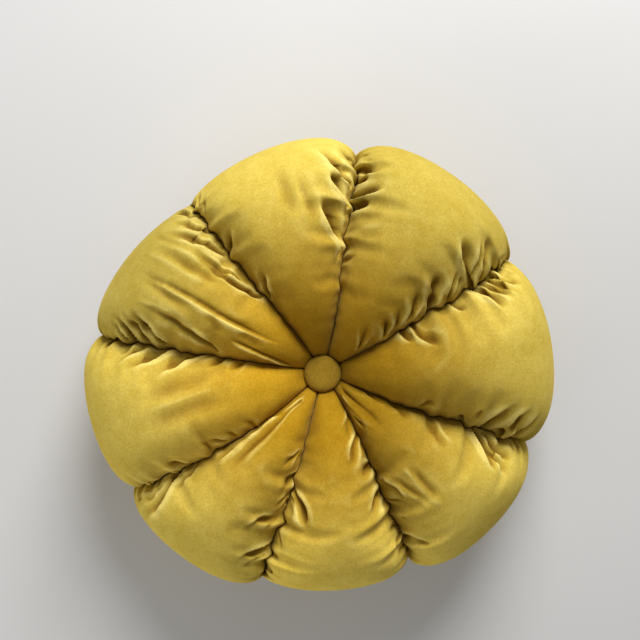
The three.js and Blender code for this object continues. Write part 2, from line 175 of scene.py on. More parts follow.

# Folds placed where the camera sees them, in its frame of 640 by 640: petal, kind, width and depth in
# mm, then points along the fold. A width below 0 turns left and right around
folds = (
    (0, "pleat", 8, 5, (361, 346), (366, 332), (370, 322)),
    (0, "pleat", 9, 6, (386, 335), (388, 326), (389, 315)),
    (0, "pleat", 9, 6, (398, 326), (401, 317), (403, 307)),
    (0, "pleat", 11, 9, (412, 318), (419, 303), (423, 291)),
    (0, "leaf", 12, 9, (428, 310), (437, 294), (441, 274)),
    (0, "flap", -6, 6, (449, 299), (452, 290), (456, 281), (459, 272)),
    (0, "flap", -5, 5, (457, 294), (460, 285), (465, 277)),
    (0, "flap", -13, 12, (469, 288), (468, 278), (465, 265), (462, 250), (461, 236)),
    (0, "flap", -7, 7, (473, 285), (477, 274), (480, 262), (482, 248), (482, 234)),
    (0, "flap", -8, 9, (480, 281), (484, 272), (486, 260), (487, 246), (488, 230)),
    (0, "flap", -6, 5, (492, 274), (496, 268), (500, 260), (502, 247)),
    (0, "flap", 9, 10, (350, 200), (357, 196), (371, 192), (386, 187)),
    (0, "flap", 8, 9, (351, 190), (356, 186), (362, 181), (369, 177)),
    (0, "flap", 7, 7, (351, 179), (358, 174), (368, 172), (384, 169)),
    (0, "pleat", 5, 4, (358, 165), (369, 159), (381, 155)),
    (0, "pleat", 4, 4, (359, 161), (368, 155), (377, 152)),
    (0, "flap", 9, 9, (347, 216), (354, 212), (363, 207), (370, 202)),
    (0, "dip", 13, 2, (352, 216), (368, 217), (386, 213)),
    (0, "dip", 12, 2, (350, 234), (368, 235), (386, 231)),
    (0, "pleat", 8, 4, (342, 263), (350, 257), (357, 255)),
    (7, "flap", 8, 6, (397, 329), (404, 337), (414, 343)),
    (7, "flap", 9, 7, (409, 325), (418, 335), (430, 342), (442, 346)),
    (7, "flap", 6, 6, (447, 301), (455, 306), (465, 309)),
    (7, "flap", 9, 11, (470, 288), (483, 293), (494, 299), (506, 310)),
    (7, "flap", 7, 9, (475, 284), (490, 287), (503, 292), (516, 300)),
    (7, "flap", 6, 8, (482, 280), (496, 283), (510, 288), (524, 295)),
    (7, "flap", 6, 7, (489, 276), (502, 278), (515, 282), (526, 287)),
    (7, "pleat", 4, 5, (495, 273), (507, 275), (519, 278)),
    (7, "pleat", 4, 5, (499, 270), (511, 272), (524, 276)),
    (7, "pleat", 4, 4, (503, 267), (514, 269), (526, 273)),
    (7, "flap", -7, 7, (462, 420), (470, 416), (479, 413), (487, 410)),
    (7, "flap", -12, 9, (477, 428), (490, 421), (503, 412), (518, 403)),
    (7, "flap", -5, 4, (487, 432), (497, 430), (508, 427)),
    (7, "flap", -11, 9, (501, 435), (509, 428), (514, 422), (523, 414), (534, 407)),
    (7, "flap", -7, 6, (515, 437), (524, 430), (533, 421), (541, 411)),
    (7, "pleat", 7, 5, (424, 406), (431, 404), (438, 403)),
    (6, "pleat", 5, 5, (430, 411), (437, 417), (445, 426)),
    (6, "dip", 10, 4, (426, 413), (433, 427), (441, 438), (451, 452)),
    (6, "roll", 4, 1.2, (429, 412), (436, 421), (444, 432), (451, 443)),
    (6, "flap", 9, 13, (471, 428), (479, 439), (486, 452), (492, 464), (498, 475)),
    (6, "flap", 9, 13, (479, 432), (487, 443), (495, 455), (502, 467), (510, 482)),
    (6, "flap", 8, 11, (487, 435), (495, 445), (503, 454), (511, 463)),
    (6, "pleat", 4, 5, (508, 440), (514, 447), (518, 455)),
    (6, "pleat", 4, 5, (514, 441), (519, 449), (521, 457)),
    (6, "dip", 9, 3, (390, 395), (400, 408), (411, 421)),
    (6, "leaf", 14, 5, (343, 391), (356, 403), (370, 415), (390, 435)),
    (6, "roll", 5, 1.5, (341, 393), (350, 405), (362, 418), (378, 433)),
    (6, "pleat", 6, 4, (364, 391), (377, 399), (392, 407)),
    (6, "pleat", 4, 4, (357, 420), (362, 426), (366, 434)),
    (6, "crease", 6, 4.5, (406, 500), (396, 490), (388, 484), (380, 478)),
    (6, "roll", 6, 1.5, (393, 483), (405, 492), (416, 500), (432, 510)),
    (6, "dip", 9, 3, (392, 477), (404, 487), (415, 495), (426, 503)),
    (6, "roll", 6, 1.5, (402, 468), (415, 481), (428, 494), (446, 508)),
    (6, "dip", 11, 3.5, (408, 464), (420, 479), (430, 490), (440, 502)),
    (6, "pleat", 7, 5, (388, 500), (398, 503), (412, 509)),
    (6, "pleat", 4, 5, (397, 515), (402, 520), (408, 527)),
    (6, "crease", 6, 5.5, (430, 545), (417, 540), (408, 535), (401, 529)),
    (6, "pleat", 5, 5, (404, 550), (412, 554), (423, 559)),
    (5, "pleat", 9, 5, (348, 417), (349, 430), (348, 444)),
    (5, "leaf", 8, 7, (357, 434), (355, 444), (354, 456), (353, 468)),
    (5, "roll", 4, 1.5, (353, 437), (350, 450), (349, 466)),
    (5, "pleat", 9, 9, (371, 463), (367, 470), (361, 481)),
    (5, "leaf", 10, 8, (382, 485), (379, 494), (377, 503), (373, 516)),
    (5, "roll", 4, 1.8, (379, 484), (374, 498), (369, 514)),
    (5, "pleat", 5, 6, (398, 518), (395, 526), (390, 536)),
    (5, "pleat", 5, 6, (401, 531), (399, 542), (396, 554)),
    (5, "pleat", 5, 5, (404, 541), (402, 552), (400, 564)),
    (5, "leaf", 11, 9, (293, 490), (297, 504), (300, 517), (305, 534)),
    (5, "roll", 4, 1.6, (289, 497), (292, 508), (297, 522), (301, 535)),
    (5, "pleat", 5, 6, (277, 531), (277, 540), (279, 551)),
    (5, "pleat", 5, 6, (271, 546), (274, 554), (279, 564)),
    (5, "pleat", 5, 6, (266, 564), (269, 572), (273, 582)),
    (4, "leaf", 8, 8, (297, 403), (288, 410), (277, 421), (262, 436), (248, 449), (236, 463), (222, 485)),
    (4, "roll", 10, 3.5, (282, 412), (268, 425), (255, 436), (243, 445), (230, 456), (214, 472)),
    (4, "leaf", 7, 6, (264, 424), (251, 433), (240, 442), (229, 450), (218, 458), (205, 468)),
    (4, "leaf", 5, 7, (200, 461), (190, 471), (181, 480), (172, 489)),
    (4, "flap", -10, 11, (176, 477), (168, 488), (160, 501), (152, 514), (145, 524)),
    (4, "pleat", 6, 7, (158, 488), (148, 498), (138, 508)),
    (4, "pleat", 4, 5, (148, 489), (140, 497), (132, 505)),
    (4, "pleat", 8, 5, (296, 457), (290, 463), (284, 470)),
    (4, "pleat", 10, 9, (297, 473), (290, 486), (281, 501)),
    (4, "pleat", 5, 5, (289, 496), (283, 503), (276, 511)),
    (4, "flap", 8, 7, (290, 505), (279, 511), (266, 518), (253, 526), (239, 536)),
    (4, "pleat", 5, 5, (280, 519), (273, 527), (265, 536)),
    (4, "flap", 9, 8, (275, 542), (262, 549), (250, 555), (235, 560)),
    (4, "pleat", 5, 6, (267, 556), (258, 561), (248, 567), (238, 572)),
    (4, "pleat", 4, 5, (262, 570), (254, 575), (243, 580)),
    (3, "flap", -13, 9, (178, 349), (160, 354), (143, 361), (118, 374)),
    (3, "flap", -12, 8, (208, 352), (191, 358), (172, 366), (148, 378)),
    (3, "flap", -9, 7, (150, 346), (136, 350), (124, 356), (110, 366)),
    (3, "pleat", 10, 5, (225, 353), (210, 363), (190, 376)),
    (3, "pleat", 8, 4, (246, 358), (234, 366), (220, 375)),
    (3, "pleat", 8, 6, (133, 343), (124, 349), (113, 356)),
    (3, "pleat", 7, 5, (115, 341), (106, 345), (99, 352)),
    (3, "pleat", 7, 4, (200, 347), (190, 351), (180, 356)),
    (3, "pleat", 5, 5, (257, 428), (251, 424), (242, 422)),
    (3, "pleat", 5, 4, (236, 437), (230, 434), (222, 434)),
    (3, "pleat", 4, 4, (212, 450), (206, 447), (198, 447)),
    (3, "pleat", 7, 5, (223, 442), (215, 443), (205, 447)),
    (3, "pleat", 7, 9, (193, 465), (178, 466), (161, 466)),
    (3, "pleat", 6, 7, (183, 471), (173, 475), (160, 478)),
    (3, "pleat", 7, 7.5, (161, 485), (149, 485), (133, 484)),
    (3, "pleat", 5, 6, (154, 489), (145, 491), (130, 491)),
    (3, "dip", 26, 5, (236, 364), (182, 384), (128, 402)),
    (3, "dip", 24, 4.5, (240, 395), (190, 410), (138, 430)),
    (2, "crease", 8, 6.5, (134, 269), (158, 282), (172, 289), (190, 300), (205, 309), (222, 318), (240, 328),
     (258, 337), (286, 347)),
    (2, "dip", 12, 3.5, (128, 272), (145, 280), (158, 289), (170, 297), (185, 305), (200, 313)),
    (2, "roll", 5, 2.2, (136, 299), (150, 305), (160, 310), (170, 316), (180, 324), (190, 330), (203, 337),
     (214, 344)),
    (2, "leaf", 11, 5.5, (213, 350), (200, 342), (190, 335), (180, 328), (170, 321), (155, 313), (136, 304)),
    (2, "crease", 6, 5, (228, 340), (245, 348), (258, 354), (270, 359), (285, 364), (302, 369)),
    (2, "dip", 12, 2, (205, 311), (215, 325), (222, 337)),
    (2, "dip", 12, 2, (235, 331), (250, 341), (262, 352)),
    (2, "dip", 14, 4, (148, 249), (170, 254), (190, 266), (207, 274), (225, 283), (242, 289)),
    (2, "roll", 6, 1.6, (160, 241), (175, 247), (190, 255), (205, 263)),
    (2, "roll", 6, 1.6, (145, 252), (165, 260), (190, 274), (208, 284)),
    (2, "dip", 9, 2, (150, 235), (168, 241), (186, 251)),
    (2, "crease", 6, 6, (176, 238), (192, 242), (205, 246), (218, 253), (230, 261)),
    (2, "flap", 8, 9, (254, 292), (242, 284), (232, 276), (225, 270), (215, 265), (204, 259), (190, 253)),
    (2, "flap", 7, 6, (236, 274), (226, 268), (214, 260), (202, 253), (186, 247)),
    (2, "flap", 6, 7, (201, 218), (190, 213), (178, 212), (165, 216)),
    (2, "flap", 6, 7, (208, 231), (197, 225), (184, 221), (170, 222)),
    (2, "flap", 7, 8, (221, 249), (208, 240), (194, 234), (178, 231), (160, 233)),
    (2, "flap", 8, 10, (163, 344), (152, 334), (141, 322), (130, 307)),
    (2, "flap", 7, 8, (149, 342), (139, 332), (131, 322), (122, 310)),
    (2, "flap", 6, 8, (137, 341), (128, 331), (120, 321), (112, 311)),
    (2, "flap", 6, 7, (127, 340), (118, 330), (110, 319)),
    (2, "flap", 5, 6, (116, 340), (109, 332), (102, 322)),
    (1, "pleat", 8, 10, (228, 254), (226, 243), (227, 226)),
    (1, "roll", 3.5, 1.6, (232, 252), (231, 241), (231, 228)),
    (1, "pleat", 8, 9, (267, 294), (262, 281), (259, 266)),
    (1, "roll", 3.5, 1.6, (275, 301), (269, 289), (264, 271)),
    (1, "pleat", 6, 6, (203, 211), (202, 203), (204, 192)),
    (1, "pleat", 6, 6, (198, 206), (198, 197), (201, 186)),
    (1, "dip", 20, 3.5, (275, 162), (289, 195), (303, 223)),
    (1, "dip", 16, 3.5, (292, 168), (309, 201), (322, 225)),
    (1, "flap", -17, 15, (341, 248), (336, 236), (331, 224), (325, 209), (321, 194)),
    (1, "flap", -13, 13, (347, 201), (340, 190), (334, 180), (330, 168)),
    (1, "flap", -12, 12, (350, 182), (340, 170), (328, 158), (315, 148)),
    (1, "flap", -5, 5, (351, 180), (346, 170), (343, 161)),
    (1, "pleat", 4, 5, (354, 165), (349, 158), (343, 151), (336, 145)),
)

# What the kinds are: width at the start and further on, as shares, where along its length a fold is at its
# full depth, and where it starts to fade
foldKinds = {
    "pleat": (0.4, 1.2, 0.0, 0.12),  # from a seam, deepest there
    "leaf": (0.35, 1.15, 0.0, 0.6),  # from a seam, deepest further on
    "dip": (0.8, 1.0, 0.4, 0.6),  # by itself
    "crease": (0.9, 1.0, 0.15, 0.7),  # steep to its left as it runs, with a crest to its right
    "roll": (0.7, 1.0, 0.15, 0.75),  # stands up
    "flap": (0.5, 1.15, 0.0, 0.4),  # from a seam, the cloth to its right lapping over a pocket to its left
}

gathers = {  # the finer ones, all along both sides of every seam
    "spacing": 9,  # mm along the seam
    "uneven": 0.35,
    "run": 24,  # mm out from the seam
    "width": 7,
    "depth": 1.6,
    "lean": 34,  # degrees outwards from square to the seam
    "ends": (30, 25),  # mm along the seam before the first and after the last
    "calmer": ((0, 90, 190), (1, 0.8, 0.35)),  # mm along the seam from the rim, and share of the depth there
    "starts": (60, 140),  # mm from the axis
    "seed": 5,
}


# 0 at low, 1 at high
def fade(low, high, x):
    t = np.clip((x - low) / (high - low), 0, 1)
    return t * t * (3 - 2 * t)


def mix(a, b, share):
    return a + (b - a) * share


# A smooth curve through rows of points, at shares of its length counted in rows
def curveThrough(rows, share):
    points = np.asarray(rows, float)
    points = np.vstack([2 * points[0] - points[1], points, 2 * points[-1] - points[-2]])
    place = np.clip(share, 0, 1) * (len(rows) - 1)
    k = np.minimum(place.astype(int), len(rows) - 2)
    t = (place - k)[..., None]
    p = [points[k + j] for j in range(4)]
    d = [np.sum((b - a) ** 2, -1, keepdims=True) ** 0.25 for a, b in zip(p, p[1:])]
    slopeIn = (p[1] - p[0]) / d[0] - (p[2] - p[0]) / (d[0] + d[1]) + (p[2] - p[1]) / d[1]
    slopeOut = (p[2] - p[1]) / d[1] - (p[3] - p[1]) / (d[1] + d[2]) + (p[3] - p[2]) / d[2]
    slopeIn, slopeOut = slopeIn * d[1], slopeOut * d[1]
    turn = 2 * p[1] - 2 * p[2] + slopeIn + slopeOut
    bend = 3 * (p[2] - p[1]) - 2 * slopeIn - slopeOut
    return ((turn * t + bend) * t + slopeIn) * t + p[1]


# Where a seam lies, by the distance from the axis
def seamAngle(seam, radius):
    out = np.clip(radius / cushion["rimRadius"], 0, 1)
    inner = mix(seam[0], seam[1], np.minimum(1, 2 * out))
    outer = mix(seam[1], seam[2], np.maximum(0, 2 * out - 1))
    return np.radians(np.where(out < 0.5, inner, outer))


def tightness(k, radius):
    inner, rim = seams[k][4:]
    return mix(inner, rim, fade(*cushion["tightens"], radius))


# Seams wander a little, as gathered ones do. Both petals of a seam share its wander
def wander(k, radius, along):
    rng = np.random.default_rng(100 + k)
    total = np.zeros_like(along)
    for waves, size in cushion["wander"]:
        total += size * np.sin(2 * np.pi * (waves * along + rng.random()) + 2.5 * np.sin(6 * along + k))
    return total * tightness(k, radius) * fade(*cushion["wanderStarts"], radius) / np.maximum(radius, 1)


# Flattens what would go through the floor
def rested(height):
    blend = cushion["floorBlend"]
    eased = (np.clip(height, -blend, blend) + blend) ** 2 / (4 * blend)
    return np.where(height >= blend, height, eased)


# Petal i before it is gathered, in mm from the axis. along is 0 in the middle of the face and 1 in the
# middle of the back, and across is -1 at its first seam and 1 at its second
def smoothPetal(i, along, across):
    count = len(seams)
    first, second = seams[i], seams[(i + 1) % count]
    section = curveThrough(sections, along)
    seamX, seamZ, crownX, crownZ = (section[..., k] for k in range(4))
    square = fade(cushion["squareFrom"], cushion["rimRadius"], seamX)
    fullness, opening = (mix(a, b, square) for a, b in zip(cushion["faceShape"], cushion["rimShape"]))
    firstReach, secondReach, rise, *_ = petals[i]
    share = (across + 1) / 2
    out = np.clip(1 - np.abs(across) ** fullness, 0, 1) ** opening
    nearRim = fade(cushion["rimBlend"], cushion["rimRadius"], seamX)
    notch = mix(first[3], second[3], share)
    reach = mix(firstReach, secondReach, share)
    seamRadius = seamX * mix(1, notch / cushion["rimRadius"], nearRim)
    crownRadius = crownX * mix(1, reach / cushion["rimReach"], nearRim)
    onFace = 1 - fade(0.5, cushion["turnsUnder"], along)
    crownHeight = crownZ + rise * onFace * fade(*cushion["riseBand"], crownX)
    beforeRim = 1 - fade(*cushion["rimStarts"], along)
    seamZ = seamZ + cushion["valleyLift"] * beforeRim * fade(*cushion["valleyBand"], seamX)
    start = seamAngle(first, seamX) + wander(i, seamX, along)
    end = seamAngle(second, seamX) + wander((i + 1) % count, seamX, along)
    angle = mix(start, end + (2 * np.pi if i == count - 1 else 0), share)
    radius = mix(seamRadius, crownRadius, out)
    return np.stack([radius * np.cos(angle), radius * np.sin(angle), mix(seamZ, crownHeight, out)], -1)


def lengthsAlong(points):
    steps = np.linalg.norm(np.diff(points, axis=0), axis=1)
    return np.concatenate([[0], np.cumsum(steps)])


# Rows even along the crown from under one button to under the other, and wider apart on the back
def rowPlaces(rows):
    last = len(sections) - 1
    fine = np.linspace(1 / last, (last - 1) / last, 3000)
    crown = curveThrough(sections, fine)[:, 2:]
    weight = 1 - 0.4 * fade(cushion["turnsUnder"], 0.8, fine)
    steps = np.linalg.norm(np.diff(crown, axis=0), axis=1) * weight[1:]
    done = np.concatenate([[0], np.cumsum(steps)])
    return np.interp(np.linspace(0, done[-1], rows + 1), done, fine)


# The grid of a petal: its points, each point's distance over the cloth from both seams, and each row's
# distance along the seam
def petalGrid(i, rows, columns):
    along = rowPlaces(rows)
    dense = np.sin(np.linspace(-np.pi / 2, np.pi / 2, 401))
    trial = smoothPetal(i, np.repeat(along[:, None], dense.size, 1), np.repeat(dense[None], along.size, 0))
    across = np.empty((rows + 1, columns + 1))
    fromFirst = np.empty_like(across)
    even = np.linspace(0, 1, columns + 1)
    closer, reach = cushion["seamDensity"]
    for row in range(rows + 1):
        length = lengthsAlong(trial[row])
        edge = np.minimum(length, length[-1] - length)
        density = 1 + closer * np.exp(-edge / reach)
        done = np.concatenate([[0], np.cumsum(np.diff(length) * density[1:])])
        across[row] = np.interp(even * done[-1], done, dense)
        fromFirst[row] = np.interp(even * done[-1], done, length)
    across[:, 0], across[:, -1] = -1, 1
    alongGrid = np.repeat(along[:, None], columns + 1, 1)
    points = smoothPetal(i, alongGrid, across)
    fromSecond = fromFirst[:, -1:] - fromFirst
    seamRuns = [lengthsAlong(points[:, 0]), lengthsAlong(points[:, -1])]
    return points, alongGrid, across, fromFirst, fromSecond, seamRuns


# The numbers of a petal's points, and the faces between them
def gridFaces(rows, columns):
    index = np.arange((rows + 1) * (columns + 1)).reshape(rows + 1, columns + 1)
    quads = np.stack([index[:-1, :-1], index[1:, :-1], index[1:, 1:], index[:-1, 1:]], -1)
    return index, quads.reshape(-1, 4)


def aroundAxis(points):
    return np.arctan2(points[..., 1], points[..., 0]), np.hypot(points[..., 0], points[..., 1])


def outwardNormals(points):
    normal = np.cross(np.gradient(points, axis=0), np.gradient(points, axis=1))
    return normal / np.maximum(np.linalg.norm(normal, axis=-1, keepdims=True), 1e-9)


# How deep a fold is: a sharp valley between round shoulders, which stand up a little
def foldProfile(off, lip=0.16):
    valley = np.exp((0.2 - np.sqrt(off * off + 0.04)) / 0.5)
    return valley - lip * np.exp(-(((off - 1.7) / 0.6) ** 2))


# How far below the cloth around it a fold of width 1 lies, at a signed distance from its line
def foldShape(kind, off):
    if kind == "roll":
        return -np.exp(-((off / 0.5) ** 2))
    if kind == "dip":
        return np.exp(-((off / 0.42) ** 2))
    if kind == "flap":
        under = fade(-0.1, 0.14, off)
        pocket = under * (1 - fade(0.1, 1.35, off))
        return pocket - 0.28 * (1 - under) * np.exp(-((off / 0.45) ** 2))
    if kind == "crease":
        lower = fade(-0.08, 0.12, off)
        return lower * np.exp(-np.maximum(off, 0) / 0.45) - 0.4 * (1 - lower) * np.exp(-((off / 0.9) ** 2))
    return foldProfile(2 * np.abs(off))


# Where the camera sees points of a petal, in its frame
def asSeen(points, normals):
    place = bpy.context.scene.camera.matrix_world
    offset = points * mm + np.array([axis.x, axis.y, 0]) - np.array(place.translation)
    local = offset @ np.array(place.to_3x3())
    half = cameraPlace["frameSide"] / 2
    focal = half / math.tan(math.radians(cameraPlace["fieldOfView"] / 2))
    seen = half + focal * np.stack([local[..., 0], -local[..., 1]], -1) / -local[..., 2:]
    seen[(normals * offset).sum(-1) > 0] = np.inf
    return seen.reshape(-1, 2)


# The line of a fold over a petal, through the grid points that the camera sees nearest to its own
def foldLine(trace, points, seen):
    spots = [points.reshape(-1, 3)[((seen - spot) ** 2).sum(-1).argmin()] for spot in np.array(trace, float)]
    line = [spots[0]] + [b for a, b in zip(spots, spots[1:]) if np.linalg.norm(b - a) > 1]
    return curveThrough(line, np.linspace(0, 1, 9 * len(line))) if len(line) > 1 else None


# How deep the placed folds press petal i in, and how far they raise it
def placedFolds(i, points, normals):
    deep = np.zeros(points.shape[:2])
    raised = np.zeros(points.shape[:2])
    seen = asSeen(points, normals)
    for petal, kind, width, depth, *trace in folds:
        if petal != i:
            continue
        line = foldLine(trace, points, seen)
        if line is None:
            continue
        startWidth, laterWidth, full, fades = foldKinds[kind]
        if not full:  # begins at the seam itself
            start = line[0] - line[3]
            line = np.vstack([line[0] + start / np.linalg.norm(start) * cushion["foldLead"], line])
        low, high = line.min(0) - 2 * abs(width), line.max(0) + 2 * abs(width)
        near = ((points > low) & (points < high)).all(-1)
        if not near.any():
            continue
        step = line[1:] - line[:-1]
        offset = points[near][:, None] - line[None, :-1]
        share = np.clip((offset * step).sum(-1) / np.maximum((step**2).sum(-1), 1e-9), 0, 1)
        apart = offset - share[..., None] * step
        gap = np.linalg.norm(apart, axis=-1)
        best = gap.argmin(1)
        pick = np.arange(len(best))
        place = (best + share[pick, best]) / len(step)
        side = np.sign((np.cross(normals[near], step[best]) * apart[pick, best]).sum(-1))
        strength = 1 - fade(fades, 1, place)
        if full:
            strength = strength * fade(0, full, place)
        across = side * gap[pick, best] / (width * mix(startWidth, laterWidth, fade(0, 0.6, place)))
        shape = foldShape(kind, across) * strength * depth
        deep[near] = np.maximum(deep[near], shape)
        raised[near] = np.minimum(raised[near], shape)
    return deep, raised


# Finer gathers along one side of a petal. They lean outwards from the seam on the face and on the back,
# and run square to it at the rim
def fineGathers(i, side, alongGrid, fromSeam, seamRun, radius):
    rng = np.random.default_rng(gathers["seed"] * 100 + 2 * i + side)
    run = np.repeat(seamRun[:, None], fromSeam.shape[1], 1)
    middle = np.interp(cushion["turnsUnder"] - 0.03, alongGrid[:, 0], seamRun)
    deep = np.zeros(fromSeam.shape)
    place = float(gathers["ends"][0])
    while place < seamRun[-1] - gathers["ends"][1]:
        spacing = gathers["spacing"] * (1 + gathers["uneven"] * rng.uniform(-1, 1))
        towardsRim = np.clip((middle - place) / 60, -1, 1)
        lean = math.radians(gathers["lean"] * (1 + 0.5 * rng.uniform(-1, 1))) * towardsRim
        length = gathers["run"] * rng.uniform(0.5, 1.5)
        width = gathers["width"] * rng.uniform(0.75, 1.35)
        nearRim = float(np.interp(abs(place - middle), *gathers["calmer"]))
        depth = gathers["depth"] * rng.uniform(0.4, 1.3) * nearRim
        near = (np.abs(run - place) < length + 2 * width) & (fromSeam < length + width)
        ahead = fromSeam[near] * math.cos(lean) + (run[near] - place) * math.sin(lean)
        beside = (run[near] - place) * math.cos(lean) - fromSeam[near] * math.sin(lean)
        share = np.clip(ahead / length, 0, 1)
        widening = mix(0.7, 1.2, share)
        shape = foldProfile(np.abs(beside) / (width / 2 * widening), 0) * (1 - fade(0.3, 1, share)) * depth
        deep[near] = np.maximum(deep[near], shape)
        place += spacing
    k = (i + side) % len(seams)
    return deep * fade(*gathers["starts"], radius) * tightness(k, radius)


# Petal i as gathered, in mm from the axis, with what is known of its grid
def gatheredPetal(i, rows, columns, share=1):
    points, alongGrid, across, fromFirst, fromSecond, seamRuns = petalGrid(i, rows, columns)
    normals = outwardNormals(points)
    _, radius = aroundAxis(points)
    deep, raised = placedFolds(i, points, normals)
    for side, (fromSeam, seamRun) in enumerate(zip((fromFirst, fromSecond), seamRuns)):
        deep = np.maximum(deep, fineGathers(i, side, alongGrid, fromSeam, seamRun, radius))
    deep, raised = softened(deep, (1, 1)), softened(raised, (1, 1))
    edge = np.minimum(fromFirst, fromSecond)
    hold = fade(0, cushion["seamHold"], edge) * fade(*cushion["foldsStart"], radius)
    depth = (deep + raised * np.exp(-deep / 4)) * hold * share
    form = points
    points = points - normals * depth[..., None]
    points[..., 2] = rested(points[..., 2])
    return points, fromFirst, fromSecond, form, normals, alongGrid, across, deep * hold


# Blender's cloth, cut larger than the form, drawn in at the seams and pressed out by the filling. It runs
# on a coarser grid, and the fine one takes its movement
simulation = {
    "step": 3,  # fine rows and columns for each coarse one
    "cut": (0.006, 0.03),  # how much larger the cloth is before it is gathered, inside and at a tight rim
    "drawnIn": 4,  # frames that the gathering takes
    "frames": 9,
    "pressure": 10,
    "stiffness": 15,
    "shear": 5,
    "bending": 0.5,
    "mass": 0.2,
    "quality": 5,
    "cap": 11,  # mm that a point may move
    "heldFrom": 22,  # mm from the axis, inside which the button holds the cloth
    "cutFrom": (70, 190),  # mm from the axis between which the cut grows to its rim's
    "middle": 80,  # mm up, from where the cloth is cut larger
    "takenFrom": (24, 62),  # mm from the axis between which the petals take up the movement
    "seamHold": 5,  # mm from a seam to where they take it in full
    "crown": (0.3, 0.7),  # the columns, as shares, whose mean swelling is the crown's
    "crownReach": 40,  # rows that it is averaged over
    "crownKept": 0.15,  # share of the crown's swelling that is kept
    "guide": 0.3,  # share of each fold's depth that the cloth starts with
}


# How tightly the seams on both sides of a point are gathered, the nearer one counting most
def tightnessAt(points):
    angle, radius = (values.ravel() for values in aroundAxis(points))
    angle = np.degrees(angle)
    total, weights = 0, 1e-6
    for k, seam in enumerate(seams):
        weight = np.exp(-((((angle - seam[2] + 180) % 360 - 180) / 20) ** 2))
        total, weights = total + weight * tightness(k, radius), weights + weight
    return total / weights


# All petals as one cloth in metres: its points when drawn in, its faces, which points the seams hold, and
# its points as cut
def clothGrid(rows, columns):
    verts, faces, pins = [], [], []
    index, quads = gridFaces(rows, columns)
    starts = [gatheredPetal(i, rows, columns, simulation["guide"])[0] for i in range(len(petals))]
    for i, points in enumerate(starts):
        verts.append(points.reshape(-1, 3))
        faces.append(quads + i * index.size)
        _, radius = aroundAxis(points)
        held = radius < simulation["heldFrom"]
        held[:, 0] = held[:, -1] = held[0] = held[-1] = True
        pins.append(held.ravel())
    verts, faces, pins = np.concatenate(verts) * mm, np.concatenate(faces), np.concatenate(pins)
    middle = np.array([0, 0, simulation["middle"] * mm])
    out = np.hypot(verts[:, 0], verts[:, 1]) / mm
    tight = np.concatenate([tightnessAt(points) for points in starts])
    inner, rim = simulation["cut"]
    extra = mix(inner, rim * tight, fade(*simulation["cutFrom"], out))
    cut = (verts - middle) * (1 + extra)[:, None] + middle
    return verts, faces, pins, cut


def addCloth(trial):
    cloth = trial.modifiers.new("cloth", "CLOTH")
    settings = cloth.settings
    settings.vertex_group_mass = "held"
    settings.quality = simulation["quality"]
    settings.mass = simulation["mass"]
    settings.tension_stiffness = settings.compression_stiffness = simulation["stiffness"]
    settings.shear_stiffness = simulation["shear"]
    settings.bending_stiffness = simulation["bending"]
    settings.use_pressure = True
    settings.uniform_pressure_force = simulation["pressure"]
    settings.effector_weights.gravity = 0
    cloth.collision_settings.use_collision = False
    cloth.point_cache.frame_start = 1
    cloth.point_cache.frame_end = simulation["frames"]


# How far every point of the cloth moves, in mm
def simulated(rows, columns):
    verts, faces, pins, cut = clothGrid(rows, columns)
    mesh = bpy.data.meshes.new("cloth trial")
    mesh.from_pydata(cut.tolist(), [], faces.tolist())
    trial = bpy.data.objects.new("cloth trial", mesh)
    bpy.context.collection.objects.link(trial)
    group = trial.vertex_groups.new(name="held")
    group.add(np.flatnonzero(pins).tolist(), 1.0, "REPLACE")
    trial.shape_key_add(name="cut")
    drawn = trial.shape_key_add(name="drawn in")
    drawn.data.foreach_set("co", verts.ravel())
    for value, number in ((0, 1), (1, 1 + simulation["drawnIn"])):
        drawn.value = value
        drawn.keyframe_insert("value", frame=number)
    addCloth(trial)
    scene = bpy.context.scene
    for number in range(1, simulation["frames"] + 1):
        scene.frame_set(number)
    seen = trial.evaluated_get(bpy.context.evaluated_depsgraph_get())
    after = np.empty(len(verts) * 3)
    seen.data.vertices.foreach_get("co", after)
    moved = (after.reshape(-1, 3) - verts) / mm
    action = mesh.shape_keys.animation_data.action
    bpy.data.objects.remove(trial)
    bpy.data.meshes.remove(mesh)
    bpy.data.actions.remove(action)
    scene.frame_set(1)
    size = np.linalg.norm(moved, axis=1, keepdims=True)
    moved *= simulation["cap"] * np.tanh(size / simulation["cap"]) / np.maximum(size, 1e-9)
    print(f"cloth simulated, it moved {size.mean():.1f} mm on average and {size.max():.1f} mm at most")
    return moved.reshape(len(petals), rows + 1, columns + 1, 3)


# Values between coarse rows and columns, smoothly
def finer(grid, step):
    for _ in range(2):
        count = grid.shape[0] - 1
        place = np.arange(count * step + 1) / step
        k = np.minimum(place.astype(int), count - 1)
        t = (place - k).reshape(-1, *[1] * (grid.ndim - 1))
        a, b, c, d = (grid[np.clip(k + j, 0, count)] for j in (-1, 0, 1, 2))
        grid = b + 0.5 * t * (c - a + t * (2 * a - 5 * b + 4 * c - d + t * (3 * (b - c) + d - a)))
        grid = np.swapaxes(grid, 0, 1)
    return grid


